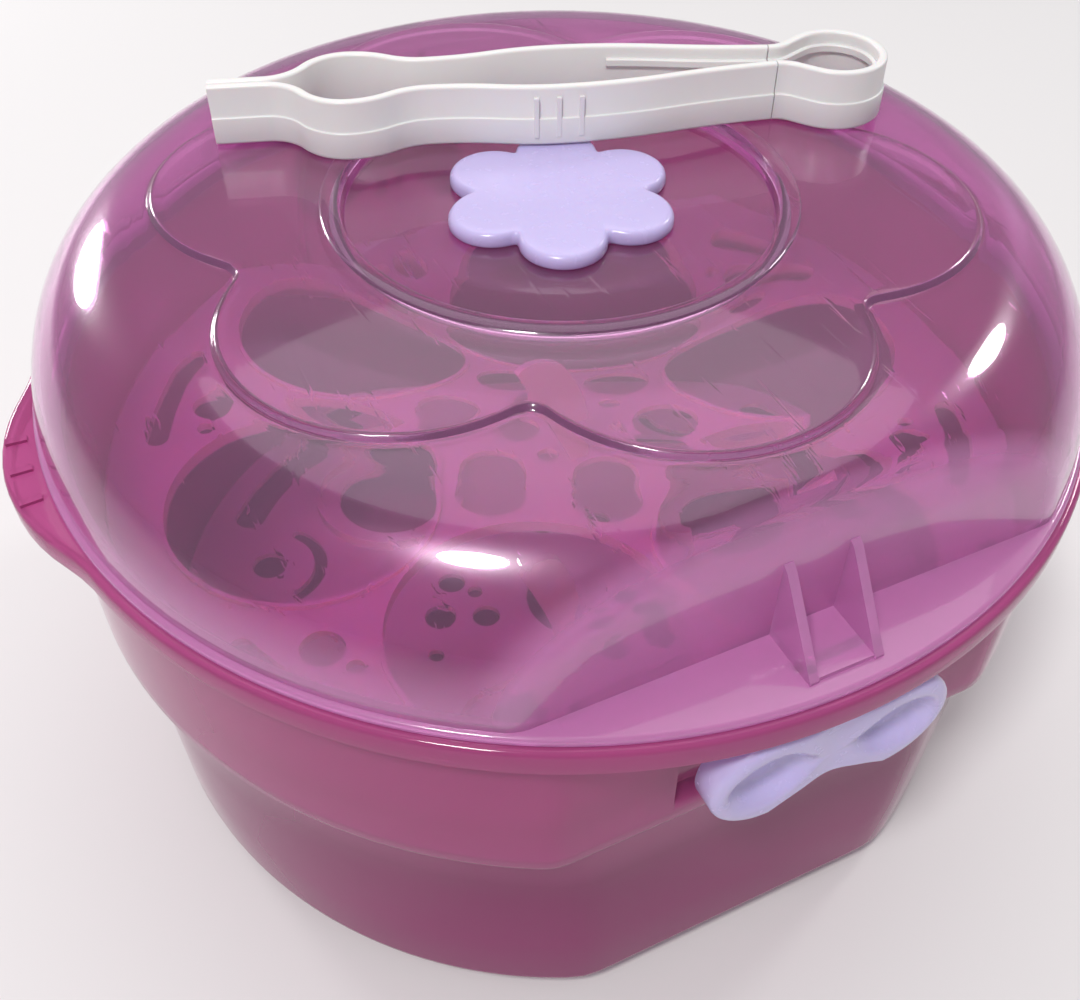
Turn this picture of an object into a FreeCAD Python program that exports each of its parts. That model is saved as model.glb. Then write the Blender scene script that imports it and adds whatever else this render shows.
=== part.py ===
import FreeCAD, Part
import math
import os

# Microwave bottle sterilizer: a translucent base pan and domed lid, two racks inside,
# two side latches, a flower badge and one-piece tongs that lie on the lid.
# Millimetres, +Z up, origin at the centre of the underside. The latches stand at -Y and +Y,
# the grip tabs at -X and +X.

V = FreeCAD.Vector

# Bottle openings, which set the size of everything around them
bottle_count = 6
bottle_radius = 38.3
bottle_lip = 1.3
bottle_lip_height = 1.6
bottle_gap = 0.4
rack_rim_margin = 16.0
rack_flat_margin = 9.46
rack_side_clearance = 1.0

# Wall thicknesses of the shells
pan_wall = 2.5
pan_floor = 2.5
lid_wall = 2.2

# Base pan
pan_height = 136.0
flange_depth = 7.0
foot_height = 1.5
foot_inset = 11.0
foot_width = 3.0
floor_chamfer = 4.7
floor_blend = 1.3
wall_draft = 2.5
flat_draft = 1.0
ledge_width = 5.2
ledge_flat_width = 2.0
band_draft = 0.3
band_chamfer = 1.2
body_corner = 8.0
band_corner = 5.0

# Rim flange of the pan and its grip tabs
flange_overhang = 3.0
flange_plate = 2.5
flange_skirt = 2.2
tab_radius = 58.0
tab_stand = 7.0
tab_blend = 14.0
tab_rib_count = 3
tab_rib_pitch_angle = 4.6
tab_rib_width = 2.4
tab_rib_height = 0.9
tab_rib_clearance = 1.7
tab_rib_chamfer = 0.6

# Latch pocket in each flat of the band
pocket_width = 60.0
pocket_depth = 3.5
pocket_drop = 8.5
ledge_drop = 7.0

# Lid
lid_step = 2.0
lid_lip = 1.5
lid_lip_height = 2.2
lid_lip_chamfer = 0.8
dome_rise = 39.5
dome_shoulder_width = 35.0
dome_bands = 4
lid_flat_step = 4.0
lid_bevel_height = 24.0
lid_bevel_lean = 4.9
rib_depth = 4.0
rib_thickness = 1.8
rib_clearance = 0.5

# Flower pad, ring and badge recess on top of the lid
petal_count = 6
pad_rise = 1.5
petal_radius = 41.7
petal_blend = 14.0
pad_chamfer = 1.0
ring_radius = 60.7
ring_width = 4.4
ring_rise = 0.5
recess_depth = 4.0
recess_draft = 1.3

# Gussets and pad in front of the lid's flat wall
gusset_spacing = 16.0
gusset_thickness = 2.5
gusset_reach = 15.0
gusset_rise = 24.0
gusset_tip_height = 1.0
step_pad_rise = 1.3

# Flower badge
badge_reach = 31.0
badge_petal_radius = 11.0
badge_thickness = 4.0
badge_chamfer = 1.3
badge_blend = 3.0
badge_turn = 36.5
stem_radius = 4.0
stem_clearance = 0.05
stem_length = 4.5

# Latch
latch_width = 62.0
latch_height = 28.5
latch_gap = 2.0
latch_stand = 6.5
latch_thickness = 8.5
latch_shell = 2.2
latch_waist = 5.5
latch_top_dip = 1.2
latch_chamfer = 1.6
dish_length = 23.0
dish_width = 15.0
dish_floor_width = 6.0
dish_depth = 3.0
pivot_depth = 2.1
pivot_rise = 11.5
trunnion_radius = 2.0
trunnion_clearance = 0.05
ear_spacing = 6.4
ear_thickness = 2.4
ear_radius = 3.8
ear_mouth = 3.3
ear_side_clearance = 0.4
ear_swing_clearance = 5.0
lug_width = 18.0
lug_thickness = 2.4
lug_depth = 14.0
lug_gap = 0.3
lug_slot_clearance = 0.6

# Bottle rack that sits on the ledge
rack_plate = 2.5
rack_skirt = 2.0
rack_rise = 11.5
rack_draft = 1.7
rack_chamfer = 0.9
hub_hole_reach = 33.0
hub_hole_radius = 10.0
spot_hole_reach = 19.0
spot_hole_radius = 3.2
spot_hole_azimuths = [-47.0, -68.0, -123.0, 6.0]
keyhole_x = -13.0
keyhole_y = 0.5
keyhole_radius = 7.0
keyhole_neck_width = 8.0
keyhole_slot_length = 17.0
keyhole_slot_width = 3.5
keyhole_slot_rise = 7.0
drain_margin = 30.2
drain_radius = 6.0
drain_small_radius = 2.5
drain_small_turn = 5.8
arc_slot_margin = 16.2
arc_slot_width = 7.0
arc_slot_angle = 16.0

# Lower rack that stands on legs on the floor
low_top_height = 26.0
low_plate = 2.2
low_rim_depth = 6.0
low_rim_wall = 2.0
low_rim_margin = 7.0
low_clearance = 1.5
low_big_count = 3
low_big_reach = 72.0
low_big_radius = 18.5
low_ring_radius = 27.0
low_ring_wall = 1.6
low_ring_height = 4.0
low_boss_margin = 28.8
low_boss_azimuth = 152.0
low_boss_radius = 6.0
low_boss_arc_radius = 18.0
low_boss_arc_width = 4.5
low_boss_arc_angle = 110.0
low_boss_arc_azimuth = 342.0
low_slot_margin = 14.8
low_slot_width = 11.0
low_slot_azimuth = 125.0
low_slot_angle = 30.0
low_lens_length = 31.0
low_lens_width = 17.0
low_lens_x = -5.0
low_lens_y = -11.0
low_leg_count = 6
low_leg_margin = 11.8
low_leg_radius = 4.0
low_cluster = [(42.0, 180.0, 5.2), (28.5, 192.0, 4.6), (35.0, 158.0, 4.6), (27.5, 168.0, 2.6),
               (52.0, 197.0, 2.6)]

# Leaf handle that rises from the middle of each rack
leaf_height = 45.0
leaf_foot_width = 5.0
leaf_foot_depth = 0.5
leaf_top_width = 13.5
leaf_top_rise = 4.7
leaf_lean = 12.0
leaf_bulge = 3.0
leaf_thickness = 2.4
leaf_upper_x = -2.7
leaf_upper_y = -20.0
leaf_lower_x = -6.8
leaf_lower_y = -29.0

# Tongs, drawn along their own centre line: the loop at +X, the tips at -X
tongs_turn = -18.5
tongs_side = 34.5
tongs_height = 16.0
tongs_strip = 2.4
tongs_ledge = 0.6
tongs_ledge_height = 7.5
tongs_split = 0.3
loop_x = 80.0
loop_radius = 12.6
loop_azimuth = 125.0
hinge_x = 62.0
hinge_half = 4.9
hinge_slope = 4.0
handle_x = 4.0
handle_half = 11.4
neck_x = -31.0
neck_half = 8.0
jaw_x = -52.0
jaw_radius = 13.6
jaw_azimuth = 147.0
tip_start_x = -74.0
tip_end_x = -88.0
tip_half = 1.5
grip_count = 3
grip_x = 8.0
grip_pitch = 6.0
grip_width = 1.2
grip_proud = 0.5
grip_low_margin = 2.0
grip_high_margin = 2.5

# How near two values lie that count as the same, and the shortest upright edge that is rounded
same = 0.001
same_height = 0.01
shortest_upright = 0.5

# Sizes that follow from the ones above
bottle_circle = 2 * (bottle_radius + bottle_lip) + bottle_gap
bottle_reach = bottle_radius + bottle_lip
rack_radius = bottle_circle + bottle_reach + rack_rim_margin
rack_flat = bottle_circle * math.cos(math.pi / bottle_count) + bottle_reach + rack_flat_margin
band_radius = rack_radius + rack_side_clearance + pan_wall
band_top_radius = band_radius + band_draft
band_flat = rack_flat + rack_side_clearance + pan_wall + pocket_depth
waist_radius = band_radius - ledge_width
waist_flat = band_flat - ledge_flat_width
foot_radius = waist_radius - wall_draft
foot_flat = waist_flat - flat_draft
flange_radius = band_top_radius + flange_overhang
tab_reach = flange_radius + tab_stand
lid_radius = flange_radius - lid_step
lid_flat = band_flat - lid_flat_step
lid_base = pan_height
lip_top = lid_base + lid_lip_height
dome_top_radius = lid_radius - dome_shoulder_width
dome_top = lid_base + dome_rise
pad_top = dome_top + pad_rise
badge_floor = pad_top - recess_depth
latch_bottom = pan_height - flange_depth - latch_gap - latch_height
latch_back = band_flat + latch_stand
pivot_out = latch_back + pivot_depth
pivot_height = latch_bottom + pivot_rise
pocket_bottom = latch_bottom - pocket_drop
ledge_height = pocket_bottom - ledge_drop
ledge_top = ledge_height + pan_wall
rack_top = ledge_top + rack_rise
floor_top = foot_height + pan_floor
low_share = low_top_height / ledge_height
low_radius = foot_radius + wall_draft * low_share - pan_wall - low_clearance
low_flat = foot_flat + flat_draft * low_share - pan_wall - low_clearance
tongs_base = pad_top + ring_rise
far = 4 * tab_reach


def polar(radius, azimuth, z=0.0):
    angle = math.radians(azimuth)
    return V(radius * math.cos(angle), radius * math.sin(angle), z)


def post(radius, low, high, place=V(0, 0, 0)):
    return Part.makeCylinder(radius, high - low, V(place.x, place.y, low))


def block(x0, x1, y0, y1, z0, z1):
    y0, y1 = sorted([y0, y1])
    return Part.makeBox(x1 - x0, y1 - y0, z1 - z0, V(x0, y0, z0))


def prism(points, reach):
    # A closed outline pushed along a vector
    return Part.Face(Part.makePolygon(points + [points[0]])).extrude(reach)


def turned(shape, angle):
    copy = shape.copy()
    copy.rotate(V(0, 0, 0), V(0, 0, 1), angle)
    return copy


def fused(shapes):
    whole = shapes[0].fuse(shapes[1:])
    return whole.removeSplitter()


def edges_where(shape, test):
    return [edge for edge in shape.Edges if test(edge)]


def is_upright(edge):
    rise = abs(edge.Vertexes[-1].Point.z - edge.Vertexes[0].Point.z)
    return rise > 0.8 * edge.Length and rise > shortest_upright


def is_level(edge, height):
    box = edge.BoundBox
    return abs(box.ZMin - height) < same_height and abs(box.ZMax - height) < same_height


def bevelled(shape, size, height):
    # The edges that lie at one height, cut off at 45 degrees
    return shape.makeChamfer(size, edges_where(shape, lambda e: is_level(e, height)))


def flatted_frustum(low_radius, high_radius, low_flat, high_flat, low, high, corner):
    # A tapered round body with two flats at -Y and +Y, its four upright corners rounded
    cone = Part.makeCylinder(low_radius, high - low, V(0, 0, low))
    if abs(low_radius - high_radius) > same:
        cone = Part.makeCone(low_radius, high_radius, high - low, V(0, 0, low))
    outline = [V(-far, -low_flat, low), V(-far, low_flat, low), V(-far, high_flat, high),
               V(-far, -high_flat, high)]
    body = cone.common(prism(outline, V(2 * far, 0, 0)))
    half_flat = 0.5 * min(low_flat, high_flat)
    corners = edges_where(body, lambda e: is_upright(e) and abs(e.CenterOfMass.y) > half_flat)
    return body.makeFillet(corner, corners)


def flatted_disc(radius, flat, low, high, corner):
    return flatted_frustum(radius, radius, flat, flat, low, high, corner)


def pan_body(inset, floor):
    # The pan's solid form: lower body, then the wider band above the ledge
    ledge = ledge_height + inset
    bevel_share = 2 - math.sqrt(2)
    chamfer = floor_chamfer - inset * bevel_share
    lower = flatted_frustum(foot_radius - inset, waist_radius - inset, foot_flat - inset,
                            waist_flat - inset, floor, ledge, body_corner - inset)
    lower = bevelled(lower, chamfer, floor)
    band = flatted_frustum(band_radius - inset, band_top_radius - inset, band_flat - inset,
                           band_flat - inset, ledge, pan_height, band_corner)
    if inset == 0:
        lower = bevelled(bevelled(lower, floor_blend, floor), floor_blend, floor + chamfer)
        band = bevelled(band, band_chamfer, ledge)
    return lower.fuse(band)


def tab_disc(inset, low, high):
    # The flange outline: a disc with a rounded grip tab at -X and +X
    disc = post(flange_radius - inset, low, high)
    lobes = []
    for side in (-1, 1):
        lobes.append(post(tab_radius - inset, low, high, V(side * (tab_reach - tab_radius), 0, 0)))
    outline = fused([disc] + lobes)
    shoulders = edges_where(outline, lambda e: is_upright(e) and abs(e.CenterOfMass.y) > tab_stand)
    return outline.makeFillet(tab_blend, shoulders)


def pocket_space(side, inset):
    # The latch pocket's space: straight sides, its floor sloping outwards
    half = pocket_width / 2 + inset
    depth = pocket_depth + inset
    bottom = pocket_bottom - inset
    face = side * (band_flat - depth)
    front = side * (band_flat + flange_overhang)
    return prism([V(-half, face, bottom + depth), V(-half, front, bottom - flange_overhang),
                  V(-half, front, pan_height), V(-half, face, pan_height)], V(2 * half, 0, 0))


def pocket_ears(side):
    # Two snap-in bearings for the latch's trunnion
    root = side * (band_flat - pocket_depth - pan_wall / 2)
    axis_y = side * pivot_out
    ears = []
    for hand in (-1, 1):
        x0 = hand * ear_spacing / 2 - ear_thickness / 2
        x1 = x0 + ear_thickness
        centre = V(x0, axis_y, pivot_height)
        arm = block(x0, x1, root, axis_y, pivot_height - ear_radius, pivot_height + ear_radius)
        nose = Part.makeCylinder(ear_radius, ear_thickness, centre, V(1, 0, 0))
        bore = Part.makeCylinder(trunnion_radius + trunnion_clearance, ear_thickness, centre, V(1, 0, 0))
        mouth = block(x0, x1, axis_y, axis_y + side * 2 * ear_radius, pivot_height - ear_mouth / 2,
                      pivot_height + ear_mouth / 2)
        ears.append(arm.fuse(nose).cut(bore).cut(mouth))
    return ears


def lug(side, clearance, low, high):
    # The tongue under the lid that a latch grips, or with a clearance the slot it drops through
    outer = latch_back - lug_gap + clearance
    inner = latch_back - lug_gap - lug_thickness - clearance
    half = lug_width / 2 + clearance
    return block(-half, half, side * inner, side * outer, low, high)


def tab_ribs(side, low):
    # Grip ribs across one tab, chamfered along their tops
    top = pan_height + tab_rib_height
    start = lid_radius + tab_rib_clearance
    end = tab_reach - tab_rib_clearance
    middle = (tab_rib_count - 1) / 2
    rib = block(start, end, -tab_rib_width / 2, tab_rib_width / 2, low, top)
    rib = bevelled(rib, tab_rib_chamfer, top)
    first = 180 if side < 0 else 0
    return [turned(rib, first + (index - middle) * tab_rib_pitch_angle) for index in range(tab_rib_count)]


def base_pan():
    skirt_low = pan_height - flange_depth
    plate_low = pan_height - flange_plate
    outer = pan_body(0, foot_height)
    inner = pan_body(pan_wall, floor_top)
    rim_hollow = tab_disc(flange_skirt, skirt_low, plate_low).cut(outer)
    rim = tab_disc(0, skirt_low, pan_height).cut(rim_hollow)
    foot_top = foot_height + pan_floor / 2
    foot_wall = foot_inset + foot_width
    foot = flatted_disc(foot_radius - foot_inset, foot_flat - foot_inset, 0, foot_top, body_corner)
    foot = foot.cut(flatted_disc(foot_radius - foot_wall, foot_flat - foot_wall, 0, foot_top, band_corner))
    extras = []
    slots = []
    for side in (-1, 1):
        outer = outer.cut(pocket_space(side, 0))
        inner = inner.cut(pocket_space(side, pan_wall))
        slots.append(lug(side, lug_slot_clearance, plate_low, pan_height))
        extras = extras + pocket_ears(side) + tab_ribs(side, plate_low)
    pan = outer.fuse([rim, foot]).cut(inner).cut(slots)
    return fused([pan] + extras)


def dome(inset, low):
    # The lid's round form: a quarter ellipse of cone bands that turns into the flat top
    width = dome_shoulder_width - lid_lip - inset
    rise = dome_rise - lid_lip_height - inset
    profile = [V(0, 0, lid_base + low), V(dome_top_radius + width, 0, lid_base + low)]
    for index in range(dome_bands + 1):
        angle = math.pi / 2 * index / dome_bands
        profile.append(V(dome_top_radius + width * math.cos(angle), 0, lip_top + rise * math.sin(angle)))
    profile.append(V(0, 0, dome_top - inset))
    face = Part.Face(Part.makePolygon(profile + [profile[0]]))
    return face.revolve(V(0, 0, 0), V(0, 0, 1), 360)


def flower(reach, petal, blend, low, high, turn=0.0):
    # Round petals whose outlines meet in blended hollows; the hollows lie at turn, turn + 60 ...
    centre = reach - petal
    step = 360.0 / petal_count
    petals = [post(centre, low, high)]
    for index in range(petal_count):
        petals.append(post(petal, low, high, polar(centre, turn + (index + 0.5) * step)))
    body = fused(petals)
    hollows = []
    for edge in edges_where(body, is_upright):
        spoke = edge.CenterOfMass
        share = (math.degrees(math.atan2(spoke.y, spoke.x)) - turn) / step
        if abs(share - round(share)) < 0.1:
            hollows.append(edge)
    return body.makeFillet(blend, hollows)


def wall_cut(side, inset, low):
    # The space in front of the lid's flat wall, leaning back along its top
    face = side * (lid_flat - inset)
    bevel = lid_base + lid_bevel_height
    top = dome_top + lid_bevel_height
    lean = side * lid_bevel_lean * (top - bevel) / (dome_top - bevel)
    return prism([V(-far, face, low), V(-far, face, bevel), V(-far, face - lean, top),
                  V(-far, side * far, top), V(-far, side * far, low)], V(2 * far, 0, 0))


def lid_form(inset, low):
    body = dome(inset, low)
    top = pad_top - inset
    if inset == 0:
        pad = flower(dome_top_radius, petal_radius, petal_blend, dome_top - lid_wall, top)
        body = body.fuse(bevelled(pad, pad_chamfer, top))
    for side in (-1, 1):
        body = body.cut(wall_cut(side, inset, low if inset else lip_top))
    recess_radius = ring_radius - ring_width + inset
    recess = Part.makeCone(recess_radius - recess_draft, recess_radius, recess_depth,
                           V(0, 0, top - recess_depth))
    return body.cut(recess)


def lid_ring():
    top = pad_top + ring_rise
    low = pad_top - lid_wall / 2
    return post(ring_radius, low, top).cut(post(ring_radius - ring_width, low, top))


def gussets(side):
    # Two upright webs in front of the flat wall and the thin pad between them
    root = side * (lid_flat - lid_wall / 2)
    tip = side * (lid_flat + gusset_reach)
    low = lid_base + lid_lip_height / 2
    top = lid_base + gusset_rise
    parts = [block(-gusset_spacing / 2, gusset_spacing / 2, root, tip, low, lip_top + step_pad_rise)]
    for hand in (-1, 1):
        x = hand * gusset_spacing / 2 - gusset_thickness / 2
        parts.append(prism([V(x, root, low), V(x, tip, low), V(x, tip, lip_top + gusset_tip_height),
                            V(x, side * lid_flat, top), V(x, root, top)], V(gusset_thickness, 0, 0)))
    return parts


def lid():
    half_lip = lid_base + lid_lip_height / 2
    lip = bevelled(post(lid_radius, lid_base, lip_top), lid_lip_chamfer, lip_top)
    inset = pan_wall + rib_clearance
    rib = flatted_disc(band_radius - inset, band_flat - inset, lid_base - rib_depth, half_lip, band_corner)
    inset = inset + rib_thickness
    mouth = flatted_disc(band_radius - inset, band_flat - inset, lid_base - rib_depth, lip_top,
                         band_corner)
    half = pocket_width / 2 + pan_wall + rib_clearance
    extras = [lid_ring()]
    for side in (-1, 1):
        rib = rib.cut(block(-half, half, 0, side * lid_radius, lid_base - rib_depth, lid_base))
        extras = extras + gussets(side) + [lug(side, 0, lid_base - lug_depth, half_lip)]
    shell = lid_form(0, 0).fuse([lip, rib])
    shell = shell.cut(lid_form(lid_wall, 0).fuse(mouth))
    return fused([shell] + extras).cut(post(stem_radius + stem_clearance, lid_base, pad_top))


def flower_badge():
    # The badge lies in the recess; its stem passes through the lid
    top = badge_floor + badge_thickness
    body = flower(badge_reach, badge_petal_radius, badge_blend, badge_floor, top, badge_turn)
    body = bevelled(body, badge_chamfer, top)
    return fused([body, post(stem_radius, badge_floor - stem_length, badge_floor)])


def finger_dish(x):
    # A long dish with sloping sides and half-round ends, sunk into the latch's front face
    face = latch_back + latch_thickness
    floor = face - dish_depth
    middle = latch_bottom + latch_height / 2
    half = (dish_length - dish_width) / 2
    trough = prism([V(x - half, face, middle - dish_width / 2), V(x - half, face, middle + dish_width / 2),
                    V(x - half, floor, middle + dish_floor_width / 2),
                    V(x - half, floor, middle - dish_floor_width / 2)], V(2 * half, 0, 0))
    ends = [Part.makeCone(dish_floor_width / 2, dish_width / 2, dish_depth, V(x + hand * half, floor, middle),
                          V(0, 1, 0)) for hand in (-1, 1)]
    return trough.fuse(ends)


def bow_tangent(centre, lobe, dip):
    # Where a shallow bow between two equal lobes touches the right lobe, from the lobe's centre
    bow = (centre * centre + dip * dip) / (2 * dip) - lobe
    drop = lobe - dip + bow
    reach = math.hypot(centre, drop)
    return -lobe * centre / reach, lobe * drop / reach


def latch(side):
    # A bow-tie of two round lobes with finger dishes, hinged on a trunnion at its waist
    low = latch_bottom
    high = latch_bottom + latch_height
    middle = (low + high) / 2
    front = latch_back + latch_thickness
    lobe = latch_height / 2
    centre = latch_width / 2 - lobe
    waist_x, waist_z = bow_tangent(centre, lobe, latch_waist)
    top_x, top_z = bow_tangent(centre, lobe, latch_top_dip)
    waist_left = V(-centre - waist_x, latch_back, middle - waist_z)
    waist_right = V(centre + waist_x, latch_back, middle - waist_z)
    top_left = V(-centre - top_x, latch_back, middle + top_z)
    top_right = V(centre + top_x, latch_back, middle + top_z)
    outline = [Part.Arc(waist_left, V(0, latch_back, low + latch_waist), waist_right).toShape(),
               Part.Arc(waist_right, V(centre + lobe, latch_back, middle), top_right).toShape(),
               Part.Arc(top_right, V(0, latch_back, high - latch_top_dip), top_left).toShape(),
               Part.Arc(top_left, V(-centre - lobe, latch_back, middle), waist_left).toShape()]
    body = Part.Face(Part.Wire(outline)).extrude(V(0, latch_thickness, 0))
    rim = edges_where(body, lambda e: abs(e.BoundBox.YMin - front) < same)
    body = body.makeChamfer(latch_chamfer, rim)
    half = ear_spacing / 2 + ear_thickness / 2 + ear_side_clearance
    hollow = block(-half, half, latch_back, front - latch_shell, low,
                   pivot_height + ear_radius + ear_swing_clearance)
    pin = Part.makeCylinder(trunnion_radius, 2 * half, V(-half, pivot_out, pivot_height), V(1, 0, 0))
    body = body.cut([hollow, finger_dish(-centre), finger_dish(centre)])
    body = fused([body, pin])
    return turned(body, 180) if side < 0 else body


def arc_slot(radius, width, middle, span, low, high):
    # A curved slot with round ends about the centre
    ring = post(radius + width / 2, low, high).cut(post(radius - width / 2, low, high))
    start = middle - span / 2
    end = middle + span / 2
    steps = 4
    corners = [V(0, 0, low)]
    for index in range(steps + 1):
        corners.append(polar(2 * radius, start + (end - start) * index / steps, low))
    slot = ring.common(prism(corners, V(0, 0, high - low)))
    return slot.fuse([post(width / 2, low, high, polar(radius, azimuth)) for azimuth in (start, end)])


def leaf(x, y, foot):
    # A leaf-shaped lifting tab that widens upwards and leans to -X
    foot_left = V(-leaf_foot_width / 2, 0, 0)
    foot_right = V(leaf_foot_width / 2, 0, 0)
    top_left = V(-leaf_lean - leaf_top_width / 2, 0, leaf_height)
    top_right = V(-leaf_lean + leaf_top_width / 2, 0, leaf_height)
    belly = (foot_right + top_right) * 0.5 + V(leaf_bulge, 0, 0)
    outline = [Part.makeLine(foot_left, top_left),
               Part.Arc(top_left, V(-leaf_lean, 0, leaf_height + leaf_top_rise), top_right).toShape(),
               Part.Arc(top_right, belly, foot_right).toShape(),
               Part.makeLine(foot_right, foot_left)]
    blade = Part.Face(Part.Wire(outline)).extrude(V(0, leaf_thickness, 0))
    blade.translate(V(x, y - leaf_thickness / 2, foot - leaf_foot_depth))
    return blade


def keyhole(low, high):
    # A round hole that opens through a neck into a cross slot
    slot_low = keyhole_y + keyhole_slot_rise
    slot_high = slot_low + keyhole_slot_width
    half_slot = keyhole_slot_length / 2
    half_neck = keyhole_neck_width / 2
    return [post(keyhole_radius, low, high, V(keyhole_x, keyhole_y, 0)),
            block(keyhole_x - half_slot, keyhole_x + half_slot, slot_low, slot_high, low, high),
            block(keyhole_x - half_neck, keyhole_x + half_neck, keyhole_y, slot_low, low, high)]


def upper_bottle_rack():
    outer = flatted_frustum(rack_radius, rack_radius - rack_draft, rack_flat, rack_flat, ledge_top,
                            rack_top, band_corner)
    outer = bevelled(outer, rack_chamfer, rack_top)
    inner = flatted_frustum(rack_radius - rack_skirt, rack_radius - rack_draft - rack_skirt,
                            rack_flat - rack_skirt, rack_flat - rack_skirt, ledge_top,
                            rack_top - rack_plate, band_corner)
    low = rack_top - rack_plate
    high = rack_top + bottle_lip_height
    lips = []
    holes = keyhole(low, high)
    step = 360.0 / bottle_count
    drain_reach = rack_radius - drain_margin
    arc_reach = rack_radius - arc_slot_margin
    for index in range(bottle_count):
        web = (index + 0.5) * step
        place = polar(bottle_circle, index * step)
        lips.append(post(bottle_reach, low, high, place))
        holes.append(post(bottle_radius, low, high, place))
        holes.append(post(hub_hole_radius, low, high, polar(hub_hole_reach, web)))
        holes.append(post(drain_radius, low, high, polar(drain_reach, web)))
        holes.append(post(drain_small_radius, low, high, polar(drain_reach, web + drain_small_turn)))
        if (arc_reach + arc_slot_width) * abs(polar(1, web).y) < rack_flat - rack_skirt:
            holes.append(arc_slot(arc_reach, arc_slot_width, web, arc_slot_angle, low, high))
    for azimuth in spot_hole_azimuths:
        holes.append(post(spot_hole_radius, low, high, polar(spot_hole_reach, azimuth)))
    body = outer.cut(inner).fuse(lips).cut(holes)
    return fused([body, leaf(leaf_upper_x, leaf_upper_y, rack_top)])


def lower_rack():
    rim_low = low_top_height - low_rim_depth
    plate_low = low_top_height - low_plate
    ring_top = low_top_height + low_ring_height
    outer = flatted_disc(low_radius, low_flat, rim_low, low_top_height, body_corner)
    outer = bevelled(outer, rack_chamfer, low_top_height)
    inner = flatted_disc(low_radius - low_rim_wall, low_flat - low_rim_wall, rim_low, plate_low, band_corner)
    border = flatted_disc(low_radius - low_rim_margin, low_flat - low_rim_margin, plate_low, ring_top,
                          band_corner)
    rings = []
    holes = []
    for index in range(low_big_count):
        turn = index * 360.0 / low_big_count
        place = polar(low_big_reach, turn)
        ring = post(low_ring_radius, plate_low, ring_top, place)
        rings.append(ring.cut(post(low_ring_radius - low_ring_wall, low_top_height, ring_top, place)))
        holes.append(post(low_big_radius, plate_low, ring_top, place))
        boss = polar(low_radius - low_boss_margin, low_boss_azimuth + turn)
        arc = arc_slot(low_boss_arc_radius, low_boss_arc_width, low_boss_arc_azimuth + turn,
                       low_boss_arc_angle, plate_low, low_top_height)
        arc.translate(boss)
        slot = arc_slot(low_radius - low_slot_margin, low_slot_width, low_slot_azimuth + turn,
                        low_slot_angle, plate_low, low_top_height)
        for cut in (post(low_boss_radius, plate_low, low_top_height, boss), arc, slot):
            holes.append(cut.common(border))
        for reach, azimuth, size in low_cluster:
            holes.append(post(size, plate_low, low_top_height, polar(reach, azimuth + turn)))
    half = low_lens_length / 2
    bulge = low_lens_width / 2
    lens_arc = (half * half + bulge * bulge) / (2 * bulge)
    shift = lens_arc - bulge
    lens = post(lens_arc, plate_low, low_top_height, V(low_lens_x + shift, low_lens_y, 0))
    lens = lens.common(post(lens_arc, plate_low, low_top_height, V(low_lens_x - shift, low_lens_y, 0)))
    holes.append(lens)
    legs = []
    widest = low_flat - 2 * low_leg_radius
    for index in range(low_leg_count):
        place = polar(low_radius - low_leg_margin, (index + 0.5) * 360.0 / low_leg_count)
        place.y = max(-widest, min(widest, place.y))
        legs.append(post(low_leg_radius, floor_top, low_top_height - low_plate / 2, place))
    body = outer.cut(inner).fuse(rings).cut(holes)
    return fused([body, leaf(leaf_lower_x, leaf_lower_y, low_top_height)] + legs)


def left_of(direction):
    return V(-direction.y, direction.x, 0)


def arc_between(start, heading, end):
    # The arc that leaves start along heading and reaches end: its points and its normals there
    chord = end - start
    along = chord.normalize() if chord.Length > 0 else chord
    chord = end - start
    bend = left_of(heading).dot(chord)
    out = along * (2 * along.dot(heading)) - heading
    if abs(bend) < 1e-6:
        return [start, start + chord * 0.5, end], [left_of(along)] * 3, out
    radius = chord.dot(chord) / (2 * bend)
    centre = start + left_of(heading) * radius
    middle = centre - left_of(along) * radius
    return [start, middle, end], [left_of(heading), left_of(along), left_of(out)], out


def biarc(start, heading, end, end_heading):
    # Two arcs that join smoothly and keep both end directions
    chord = end - start
    total = heading + end_heading
    turn = 2 * (1 - heading.dot(end_heading))
    dot = chord.dot(total)
    if turn < 1e-9:
        reach = chord.dot(chord) / (4 * chord.dot(end_heading))
    else:
        reach = (math.sqrt(dot * dot + turn * chord.dot(chord)) - dot) / turn
    joint = (start + end + (heading - end_heading) * reach) * 0.5
    first = arc_between(start, heading, joint)
    return [first, arc_between(joint, first[2], end)]


def strip(line, half_right, half_left, height):
    # A band of constant width along smooth arcs: line holds (x, y, heading in degrees)
    arcs = []
    for (x0, y0, h0), (x1, y1, h1) in zip(line, line[1:]):
        arcs = arcs + biarc(V(x0, y0, 0), polar(1, h0), V(x1, y1, 0), polar(1, h1))
    sides = []
    for offset in (-half_right, half_left):
        edges = []
        for points, normals, out in arcs:
            start, middle, end = [point + normal * offset for point, normal in zip(points, normals)]
            bow = (middle - (start + end) * 0.5).Length
            edges.append(Part.Arc(start, middle, end).toShape() if bow > same else Part.makeLine(start, end))
        sides.append(edges)
    ends = [Part.makeLine(sides[0][place].Vertexes[place].Point, sides[1][place].Vertexes[place].Point)
            for place in (0, -1)]
    wire = Part.Wire(Part.__sortEdges__(sides[0] + sides[1] + ends))
    return Part.Face(wire).extrude(V(0, 0, height))


def to_lid(shape):
    placed = shape.copy()
    placed.translate(V(0, tongs_side, tongs_base))
    return turned(placed, tongs_turn)


def jaw_point(azimuth):
    # A point of the ring-shaped jaw and the direction in which the arm passes it
    place = polar(jaw_radius, azimuth)
    return jaw_x + place.x, place.y, azimuth + 90


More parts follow.
